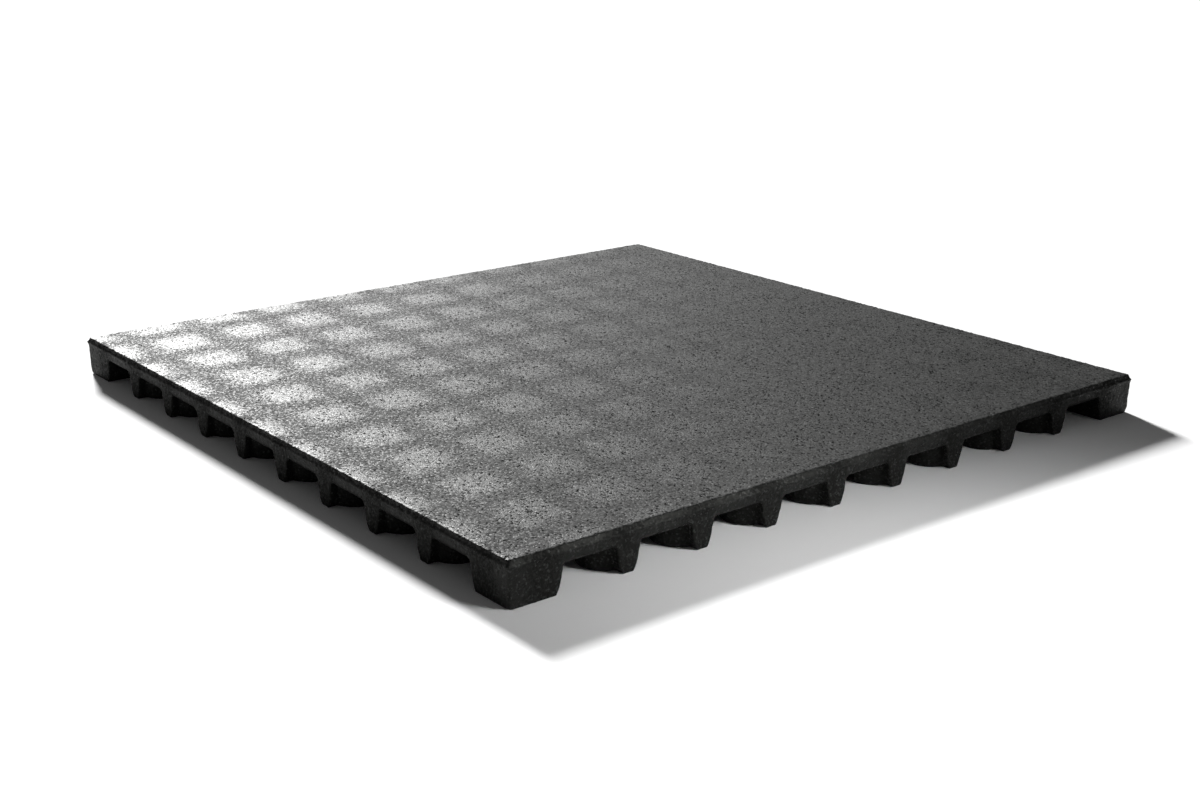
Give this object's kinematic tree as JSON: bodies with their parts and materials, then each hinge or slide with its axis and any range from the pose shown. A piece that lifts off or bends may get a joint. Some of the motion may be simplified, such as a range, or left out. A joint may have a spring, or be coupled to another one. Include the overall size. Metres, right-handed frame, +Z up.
{
  "type": "rubber floor tile",
  "caption": "Square moulded rubber granulate floor tile, flat on top, standing on a grid of tapered round feet with drainage ways between them.",
  "frame": {"origin": "middle of the plane that the feet stand on", "axes": "+Z up through the flat top, +X and +Y along the two pairs of sides"},
  "size_m": [1, 1, 0.0515],
  "materials": {
    "rubber_granulate": "bound black rubber granulate, matt and pebbly, with fine bright glints"
  },
  "bodies": {
    "root": {"rubber_tile": "rubber_granulate"}
  },
  "joints": []
}
